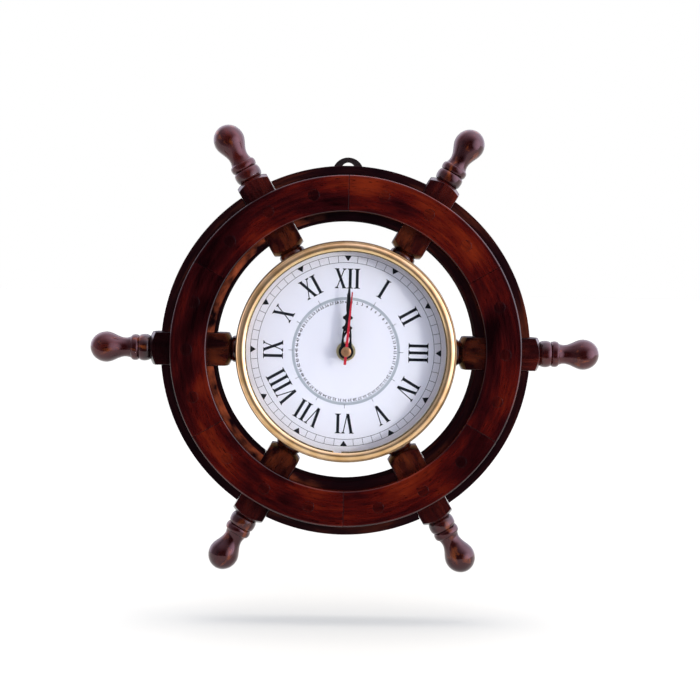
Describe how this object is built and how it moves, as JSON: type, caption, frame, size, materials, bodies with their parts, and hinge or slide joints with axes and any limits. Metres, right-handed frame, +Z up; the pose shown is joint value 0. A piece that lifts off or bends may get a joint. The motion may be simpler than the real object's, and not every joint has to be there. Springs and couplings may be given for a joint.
{
  "type": "ship wheel wall clock",
  "caption": "Wall clock in the hub of a turned wooden ship's wheel: brass drum case, glazed dial with black and red hands, battery movement with a wheel train and a hanging eye.",
  "frame": {"origin": "centre of the bounding box, on the axis of the wheel and the hands, half way between the hanger's back and the bezel's front", "axes": "+Z up to 12 o'clock, +X to 3 o'clock as seen from the front, +Y into the wall; the dial faces -Y"},
  "size_m": [0.381, 0.0472, 0.333],
  "materials": {
    "spoke_wood": "glossy lacquer",
    "felloe_wood": "glossy lacquer",
    "ring_wood": "glossy lacquer",
    "hanger_paint": "black enamel",
    "screw_steel": "zinc plated",
    "case_brass": "satin",
    "bezel_brass": "satin, lacquered",
    "clear_glass": "polished",
    "dial_white": "printed white enamel",
    "hand_black": "black lacquer",
    "second_hand_red": "red lacquer",
    "hub_brass": "polished",
    "movement_plastic": "moulded",
    "wheel_nylon": "moulded",
    "rotor_ferrite": "moulded magnet",
    "stator_steel": "stamped",
    "coil_copper": "enamelled winding",
    "board_green": "solder mask",
    "battery_sleeve": "plain printed sleeve",
    "contact_steel": "nickel plated"
  },
  "bodies": {
    "frame": {"spoke_1": "spoke_wood", "spoke_2": "spoke_wood", "spoke_3": "spoke_wood", "spoke_4": "spoke_wood", "spoke_5": "spoke_wood", "spoke_6": "spoke_wood", "felloe_1": "felloe_wood", "felloe_2": "felloe_wood", "felloe_3": "felloe_wood", "felloe_4": "felloe_wood", "felloe_5": "felloe_wood", "felloe_6": "felloe_wood", "front_ring_1": "ring_wood", "front_ring_2": "ring_wood", "front_ring_3": "ring_wood", "front_ring_4": "ring_wood", "front_ring_5": "ring_wood", "front_ring_6": "ring_wood", "rear_ring_1": "ring_wood", "rear_ring_2": "ring_wood", "rear_ring_3": "ring_wood", "rear_ring_4": "ring_wood", "rear_ring_5": "ring_wood", "rear_ring_6": "ring_wood", "hanger_plate": "hanger_paint", "hanger_screw_left": "screw_steel", "hanger_screw_right": "screw_steel", "spoke_screw_1": "screw_steel", "spoke_screw_2": "screw_steel", "spoke_screw_3": "screw_steel", "spoke_screw_4": "screw_steel", "spoke_screw_5": "screw_steel", "spoke_screw_6": "screw_steel", "case_drum": "case_brass", "bezel": "bezel_brass", "glass": "clear_glass", "glass_ring": "case_brass", "dial": "dial_white", "brass_washer": "hub_brass", "hex_nut": "hub_brass", "movement_case": "movement_plastic", "movement_cover": "movement_plastic", "stator": "stator_steel", "coil": "coil_copper", "circuit_board": "board_green", "battery": "battery_sleeve", "contact_positive": "contact_steel", "contact_negative": "contact_steel"},
    "minute_train": {"minute_hand": "hand_black", "cannon_pinion": "wheel_nylon"},
    "hour_train": {"hour_hand": "hand_black", "hour_wheel": "wheel_nylon"},
    "setting_train": {"setting_wheel": "wheel_nylon"},
    "second_train": {"second_hand": "second_hand_red", "second_hand_cap": "hub_brass", "second_wheel": "wheel_nylon"},
    "third_train": {"third_wheel": "wheel_nylon"},
    "centre_train": {"centre_wheel": "wheel_nylon"},
    "fifth_train": {"fifth_wheel": "wheel_nylon"},
    "rotor_train": {"rotor": "rotor_ferrite"}
  },
  "joints": [
    {"name": "minute_hand_turn", "type": "hinge", "parent": "frame", "child": "minute_train", "pos_m": [0, -0.0141, 0], "axis": [0, 1, 0], "continuous": true},
    {"name": "hour_hand_turn", "type": "hinge", "parent": "frame", "child": "hour_train", "pos_m": [0, -0.0122, 0], "axis": [0, 1, 0], "continuous": true},
    {"name": "setting_knob_turn", "type": "hinge", "parent": "frame", "child": "setting_train", "pos_m": [-0.008, 0, 0], "axis": [0, 1, 0], "continuous": true},
    {"name": "second_hand_turn", "type": "hinge", "parent": "frame", "child": "second_train", "pos_m": [0, -0.016, 0], "axis": [0, 1, 0], "continuous": true},
    {"name": "third_wheel_turn", "type": "hinge", "parent": "frame", "child": "third_train", "pos_m": [0.00194, 0, 0.00724], "axis": [0, 1, 0], "continuous": true},
    {"name": "centre_wheel_turn", "type": "hinge", "parent": "frame", "child": "centre_train", "pos_m": [0, 0, 0], "axis": [0, 1, 0], "continuous": true},
    {"name": "fifth_wheel_turn", "type": "hinge", "parent": "frame", "child": "fifth_train", "pos_m": [0.00756, 0, -0.00133], "axis": [0, 1, 0], "continuous": true},
    {"name": "rotor_turn", "type": "hinge", "parent": "frame", "child": "rotor_train", "pos_m": [0.01283, 0, 0.00058], "axis": [0, 1, 0], "continuous": true}
  ],
  "couplings": [
    {"joint": "hour_hand_turn", "follows": "minute_hand_turn", "ratio": 0.083333},
    {"joint": "setting_knob_turn", "follows": "minute_hand_turn", "ratio": -0.25},
    {"joint": "third_wheel_turn", "follows": "second_hand_turn", "ratio": -0.13333},
    {"joint": "centre_wheel_turn", "follows": "second_hand_turn", "ratio": 0.016667},
    {"joint": "fifth_wheel_turn", "follows": "second_hand_turn", "ratio": -5},
    {"joint": "rotor_turn", "follows": "second_hand_turn", "ratio": 30}
  ]
}
